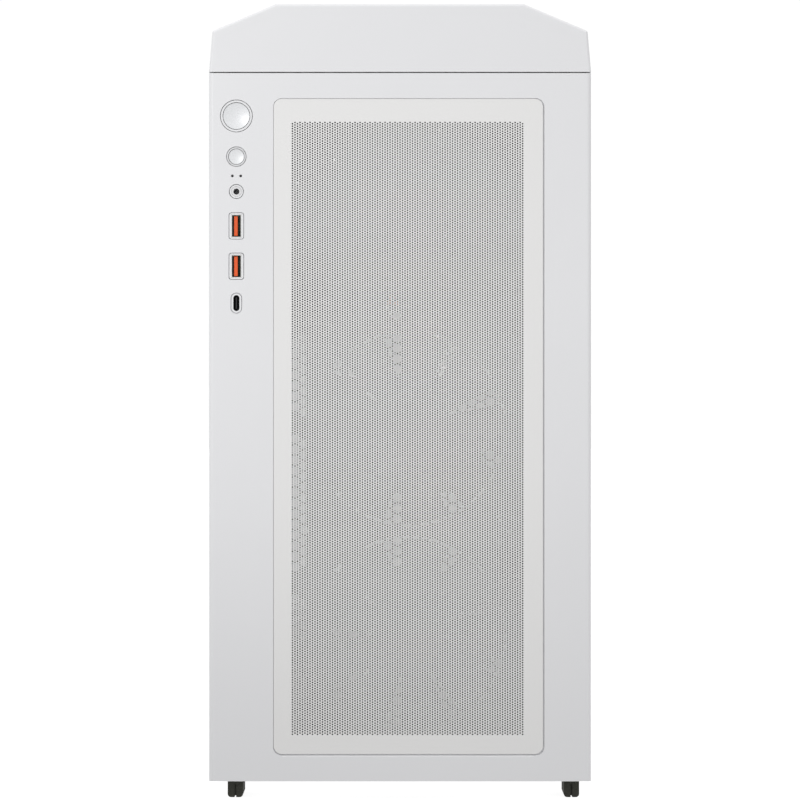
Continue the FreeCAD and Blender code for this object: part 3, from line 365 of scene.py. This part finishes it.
def punched_tile(columns, odd, v_low, v_high, v_first, count, pitch, r, edges, depth, to_point):
    """A closed slab between two straight edges with staggered columns of six-sided holes.

    The lattice is one step larger than the holes on every side. There each hole shrinks to a single
    point on the slab's border, so that the same web closes the slab."""
    points = []
    index = {}

    def spot(i, j, k, back):
        """The mesh point at corner k of hole j in column i."""
        inside = 0 <= i < len(columns) and 0 <= j < count
        key = (i, j, k % 6 if inside else 0, back)
        if key not in index:
            u = edges[0] if i < 0 else edges[1] if i >= len(columns) else columns[i]
            v = v_first + pitch * (j + 0.5 * ((i + odd) % 2))
            v = v_low if j < 0 else v_high if j >= count else v
            if inside:
                u += r * math.cos(math.radians(60 * k))
                v += r * math.sin(math.radians(60 * k))
            index[key] = len(points)
            points.append(to_point(u, v, depth if back else 0.0))
        return index[key]

    faces = []

    def web(*corners):
        """A face between holes, on both sides; corners that fall together count once."""
        for back in (False, True):
            face = []
            for corner in corners:
                vertex = spot(*corner, back)
                if vertex not in face:
                    face.append(vertex)
            if len(face) > 2:
                faces.append(face[::-1] if back else face)

    def wall(a, b):
        """A face through the plate's thickness."""
        faces.append((spot(*a, False), spot(*b, False), spot(*b, True), spot(*a, True)))

    n = len(columns)
    for i in range(-1, n + 1):
        for j in range(-1, count + 1):
            if 0 <= i < n and j < count:
                web((i, j, 2), (i, j, 1), (i, j + 1, 5), (i, j + 1, 4))
            if 0 <= i < n and 0 <= j < count:
                for k in range(6):
                    wall((i, j, k), (i, j, k + 1))
            if i == n:
                continue
            up = j + (i + odd) % 2
            if up <= count:
                web((i, j, 1), (i, j, 0), (i + 1, up, 4), (i + 1, up, 3))
            if -1 <= up - 1 <= count:
                web((i, j, 0), (i, j, 5), (i + 1, up - 1, 3), (i + 1, up - 1, 2))
            if j < count and up <= count:
                web((i, j, 1), (i + 1, up, 3), (i, j + 1, 5))
            if 0 <= up <= count:
                web((i, j, 0), (i + 1, up - 1, 2), (i + 1, up, 4))
    for i in range(-1, n):
        wall((i + 1, -1, 0), (i, -1, 0))
        wall((i, count, 0), (i + 1, count, 0))
    for j in range(-1, count):
        wall((-1, j, 0), (-1, j + 1, 0))
        wall((n, j + 1, 0), (n, j, 0))
    return points, faces


def rounded_loop(u0, u1, v0, v1, r, steps=8):
    """A rectangle with round corners, anticlockwise from its lower right corner."""
    loop = []
    centres = ((u1 - r, v0 + r, -90), (u1 - r, v1 - r, 0), (u0 + r, v1 - r, 90), (u0 + r, v0 + r, 180))
    for cu, cv, start in centres:
        for s in range(steps + 1):
            a = math.radians(start + 90.0 * s / steps)
            loop.append((cu + r * math.cos(a), cv + r * math.sin(a)))
    return loop


def margin_plate(outer, radius, inner, depth, edge, to_point, steps=8):
    """The plain border around a punched field: round corners and a broken edge outside, square inside."""
    u0, u1, v0, v1 = outer
    loops = [(rounded_loop(u0 + edge, u1 - edge, v0 + edge, v1 - edge, radius - edge, steps), 0.0),
             (rounded_loop(u0, u1, v0, v1, radius, steps), edge),
             (rounded_loop(u0, u1, v0, v1, radius, steps), depth)]
    points = [to_point(u, v, w) for loop, w in loops for u, v in loop]
    n = len(loops[0][0])
    a0, a1, b0, b1 = inner
    corners = [(a1, b0), (a1, b1), (a0, b1), (a0, b0)]
    first = len(points)
    points += [to_point(u, v, 0.0) for u, v in corners] + [to_point(u, v, depth) for u, v in corners]
    faces = []
    for k in range(n):
        m = (k + 1) % n
        faces.append((k, n + k, n + m, m))
        faces.append((n + k, 2 * n + k, 2 * n + m, n + m))
    for c in range(4):
        d = (c + 1) % 4
        for side, shift in ((0, 0), (2 * n, 4)):
            flip = -1 if side else 1
            for s in range(steps):
                k = c * (steps + 1) + s
                faces.append((first + shift + c, side + k, side + k + 1)[::flip])
            k = c * (steps + 1) + steps
            faces.append((first + shift + c, side + k, side + (k + 1) % n, first + shift + d)[::flip])
        faces.append((first + c, first + d, first + 4 + d, first + 4 + c))
    return points, faces


def punched_panel(node, body, plane, margins, pitch, hole_r, corner_r, tiles):
    """Replaces a plain CAD plate with its real form: a border around a finely punched field."""
    low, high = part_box(node)
    if plane == "front":
        outer = (low.x, high.x, low.z, high.z)
        depth = high.y - low.y

        def to_point(u, v, w):
            return (u, low.y + w, v)
    else:
        outer = (low.x, high.x, low.y, high.y)
        depth = high.z - low.z

        def to_point(u, v, w):
            return (u, v, high.z - w)
    left, right, bottom, top = margins
    inner = (outer[0] + left, outer[1] - right, outer[2] + bottom, outer[3] - top)
    points, faces = margin_plate(outer, corner_r, inner, depth, PLATE_EDGE, to_point)
    border = mesh_object(node + "_border", points, faces, PLATE)
    pieces = [border]
    total = int((inner[1] - inner[0]) / pitch[0])
    start = (inner[0] + inner[1] - (total - 1) * pitch[0]) / 2
    count = int((inner[3] - inner[2]) / pitch[1] - 0.5)
    v_first = (inner[2] + inner[3] - (count - 0.5) * pitch[1]) / 2
    for t in range(tiles):
        first = total * t // tiles
        last = total * (t + 1) // tiles
        columns = [start + pitch[0] * i for i in range(first, last)]
        edges = [inner[0] if t == 0 else columns[0] - pitch[0] / 2,
                 inner[1] if t == tiles - 1 else columns[-1] + pitch[0] / 2]
        points, faces = punched_tile(columns, first % 2, inner[2], inner[3], v_first, count, pitch[1],
                                     hole_r, edges, depth, to_point)
        pieces.append(mesh_object("%s_holes_%d" % (node, t + 1), points, faces, HOLED))
    for piece in pieces:
        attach(piece, body)
        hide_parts(node)


punched_panel("front_mesh_panel", "mesh_insert", "front", FRONT_MARGINS, FRONT_PITCH,
              FRONT_HOLE_R, FRONT_CORNER_R, FRONT_TILES)
punched_panel("top_mesh_panel", "cover_insert", "top", TOP_MARGINS, TOP_PITCH,
              TOP_HOLE_R, TOP_CORNER_R, TOP_TILES)


# ---- side glass with ground edges ----
def glass_slab():
    low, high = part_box("glass_panel")
    back = high.x - GLASS_GAP
    layers = ((GLASS_EDGE, low.x), (0.0, low.x + GLASS_EDGE), (0.0, back - GLASS_EDGE), (GLASS_EDGE, back))
    points = []
    for inset, x in layers:
        loop = rounded_loop(low.y + inset, high.y - inset, low.z + inset, high.z - inset,
                            GLASS_CORNER_R - inset)
        points += [(x, u, v) for u, v in loop]
    n = len(points) // len(layers)
    faces = [tuple(range(n)), tuple(range(4 * n - 1, 3 * n - 1, -1))]
    for layer in range(3):
        for k in range(n):
            m = (k + 1) % n
            faces.append((layer * n + k, (layer + 1) * n + k, (layer + 1) * n + m, layer * n + m))
    slab = mesh_object("glass_slab", points, faces, GLASS)
    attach(slab, "left_panel")
    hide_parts("glass_panel")


# ---- small parts soldered to the motherboard, and what is inside the rear sockets ----
class Builder:
    """Collects small bevelled solids into one mesh, in millimetres from an origin given in metres."""

    def __init__(self, origin):
        self.origin = Vector(origin)
        self.points = []
        self.faces = []

    def point(self, axis, u, v, w):
        place = {"x": (w, u, v), "y": (u, w, v)}[axis]
        self.points.append(tuple(self.origin + MM * Vector(place)))

    def prism(self, outline, low, high, bevel, axis):
        """An outline (u, v) raised along an axis from low to high, with a bevelled edge at high."""
        middle = Vector((sum(u for u, v in outline), sum(v for u, v in outline))) / len(outline)
        rise = bevel if high > low else -bevel
        first = len(self.points)
        for w, inset in ((low, 0.0), (high - rise, 0.0), (high, bevel)):
            for corner in outline:
                away = Vector(corner) - middle
                u, v = middle + away * (1.0 - inset / max(away.length, 2.0 * bevel))
                self.point(axis, u, v, w)
        n = len(outline)
        for layer in (0, 1):
            for k in range(n):
                m = (k + 1) % n
                a = first + layer * n
                self.faces.append((a + k, a + m, a + n + m, a + n + k))
        self.faces.append(tuple(range(first + 2 * n, first + 3 * n)))

    def block(self, u0, u1, v0, v1, low, high, bevel, axis="x"):
        self.prism([(u0, v0), (u1, v0), (u1, v1), (u0, v1)], low, high, bevel, axis)

    def can(self, u, v, r, low, high, bevel, axis="x", steps=20):
        ring = [(u + r * math.cos(math.tau * k / steps), v + r * math.sin(math.tau * k / steps))
                for k in range(steps)]
        self.prism(ring, low, high, bevel, axis)

    def collar(self, u, v, outer, inner, low, high, bevel, steps=24):
        """A short ring whose axis runs along Y."""
        first = len(self.points)
        section = ((outer, low), (outer, high - bevel), (outer - bevel, high), (inner, high), (inner, low))
        for r, w in section:
            for k in range(steps):
                a = math.tau * k / steps
                self.point("y", u + r * math.cos(a), v + r * math.sin(a), w)
        for layer in range(len(section) - 1):
            for k in range(steps):
                m = (k + 1) % steps
                a = first + layer * steps
                self.faces.append((a + k, a + m, a + steps + m, a + steps + k))

    def finish(self, name, material, body, slot):
        piece = mesh_object(name, self.points, self.faces, material)
        shell = bmesh.new()
        shell.from_mesh(piece.data)
        bmesh.ops.recalc_face_normals(shell, faces=shell.faces)
        shell.to_mesh(piece.data)
        shell.free()
        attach(piece, body)


# millimetres from the board's lower front corner: y, z, and the size of a square chip
LOOSE_CANS = ((101, 192), (101, 204), (101, 240), (101, 252), (29, 264), (29, 276), (19, 132), (19, 144),
              (217, 124), (217, 114), (217, 18), (209, 18), (201, 18))
LOOSE_CHIPS = ((215, 42, 9), (219, 70, 7), (19, 22, 10), (119, 42, 8), (27, 160, 6), (139, 154, 6),
               (169, 154, 5))
RESISTOR_ROWS = (10, 71.5, 148)
FREE_SLOTS = (63, 79)


def board_parts():
    """Parts that stand on the board's face, which looks towards -X."""
    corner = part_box("motherboard")[0]
    chokes, cans, chips, contacts = Builder(corner), Builder(corner), Builder(corner), Builder(corner)
    for k in range(7):                                    # power stage beside the processor
        z = 178 + 14.2 * k
        chokes.block(186.5, 195.5, z, z + 9.2, 0, -5.8, 0.6)
        chips.block(180.5, 185.2, z + 1, z + 7.5, 0, -0.9, 0.2)
    for k in range(5):                                    # power stage above the processor
        y = 122 + 11.8 * k
        chokes.block(y, y + 8.8, 267.5, 276.5, 0, -5.8, 0.6)
        cans.can(y + 4.4, 283.5, 2.9, 0, -7.8, 0.4)
    for y, z in LOOSE_CANS:
        cans.can(y, z, 3, 0, -8, 0.4)
    for y, z, size in LOOSE_CHIPS:
        chips.block(y, y + size, z, z + size, 0, -1.2, 0.2)
    for column in range(14):                              # tiny resistors between the larger parts
        y = 29 + 14.5 * column
        for z in RESISTOR_ROWS:
            chips.block(y, y + 1.6, z, z + 0.8, 0, -0.5, 0.1)
            chips.block(y + 4, y + 4.8, z - 1, z + 0.6, 0, -0.5, 0.1)
    for y in FREE_SLOTS:                                  # spring contacts in the two free memory slots
        for k in range(90):
            z = 159 + 1.45 * k
            contacts.block(y - 0.75, y - 0.35, z, z + 0.6, -6.4, -7.1, 0.1)
            contacts.block(y + 0.35, y + 0.75, z, z + 0.6, -6.4, -7.1, 0.1)
    chokes.finish("board_chokes", CHOKE, "chassis", "socket_plastic")
    cans.finish("board_capacitors", CAN, "chassis", "heatsink")
    chips.finish("board_chips", CHIP, "chassis", "socket_plastic")
    contacts.finish("memory_slot_contacts", GOLD, "chassis", "socket_plastic")


def rear_sockets():
    """Tongues and rings in the rear sockets, measured from a corner of the shield plate's outer face."""
    low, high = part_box("rear_io_ports")
    corner = (low.x, high.y, low.z)
    blue, black, green_rings, black_rings = Builder(corner), Builder(corner), Builder(corner), Builder(corner)
    for tongues, z, xs in ((blue, 15.5, (17.5, 32.5)), (blue, 35.5, (14.5, 31.5)),
                           (black, 73.5, (15.5, 31.5)), (blue, 113.5, (15.5, 31.5))):
        for x in xs:
            tongues.block(x - 4.8, x + 4.8, z + 0.4, z + 2, -13.5, -3, 0.3, "y")
    for rings, x in ((green_rings, 13), (black_rings, 32)):
        for z in (132.5, 145.5):
            rings.collar(x, z, 3.2, 2.2, -1.4, -0.2, 0.2)
    blue.finish("rear_usb_tongues", BLUE, "chassis", "socket_plastic")
    black.finish("rear_usb_tongues_black", CHIP, "chassis", "socket_plastic")
    green_rings.finish("rear_audio_rings_green", LIME, "chassis", "socket_plastic")
    black_rings.finish("rear_audio_rings_black", CHIP, "chassis", "socket_plastic")


board_parts()
rear_sockets()
glass_slab()


# ---- camera, floor and light ----
def place_camera():
    """Straight in front of the case, a very little above its middle."""
    low, high = Vector(cad_box[0]), Vector(cad_box[1])
    data = bpy.data.cameras.new("camera")
    data.sensor_width = SENSOR_WIDTH
    data.lens = SENSOR_WIDTH * CAMERA_DISTANCE / VIEW_WIDTH
    camera = bpy.data.objects.new("camera", data)
    camera.location = (0.0, low.y - CAMERA_DISTANCE, (low.z + high.z) / 2 + CAMERA_RISE)
    camera.rotation_euler = (math.radians(90), 0.0, 0.0)
    bpy.context.scene.collection.objects.link(camera)
    bpy.context.scene.camera = camera


def lay_floor():
    """A grey floor whose own glow makes it look white. It throws no light on the case."""
    material = Nodes("floor")
    material.set(Base_Color=(0.30, 0.30, 0.30, 1.0), Roughness=0.9, Emission_Color=(1.0, 1.0, 1.0, 1.0),
                 Emission_Strength=0.92)
    corners = [(-FLOOR_REACH, -FLOOR_REACH, 0), (FLOOR_REACH, -FLOOR_REACH, 0),
               (FLOOR_REACH, FLOOR_REACH, 0), (-FLOOR_REACH, FLOOR_REACH, 0)]
    floor = mesh_object("floor", corners, [(0, 1, 2, 3)], material.material)
    floor.visible_diffuse = False


def surround():
    """Even white surroundings that fade to a dimmer white just below the horizon."""
    world = bpy.data.worlds.new("studio")
    world.use_nodes = True
    sky = world.node_tree
    background = sky.nodes["Background"]
    background.inputs["Color"].default_value = (1.0, 1.0, 1.0, 1.0)
    up = sky.nodes.new("ShaderNodeSeparateXYZ")
    sky.links.new(sky.nodes.new("ShaderNodeTexCoord").outputs["Generated"], up.inputs[0])
    fade = sky.nodes.new("ShaderNodeMapRange")
    limits = {"From Min": -0.08, "From Max": -0.01, "To Min": LIGHT_BELOW, "To Max": LIGHT_ABOVE}
    for key, value in limits.items():
        fade.inputs[key].default_value = value
    sky.links.new(up.outputs["Z"], fade.inputs["Value"])
    sky.links.new(fade.outputs["Result"], background.inputs["Strength"])
    bpy.context.scene.world = world
    bpy.context.scene.view_settings.view_transform = "Standard"


def soft_spot(name, place, aim, cone, blend, size, power):
    data = bpy.data.lights.new(name, "SPOT")
    data.spot_size = math.radians(cone)
    data.spot_blend = blend
    data.shadow_soft_size = size
    data.energy = power
    light = bpy.data.objects.new(name, data)
    light.location = place
    light.rotation_euler = (Vector(aim) - Vector(place)).to_track_quat("-Z", "Y").to_euler()
    bpy.context.scene.collection.objects.link(light)


place_camera()
lay_floor()
surround()
# the key light's soft lower edge falls across the case, so the front darkens gently towards the floor
soft_spot("key", place=(-0.55, -1.32, 0.60), aim=(-0.12, -0.20, 0.684), cone=65.0, blend=0.62, size=0.08,
          power=16.2)
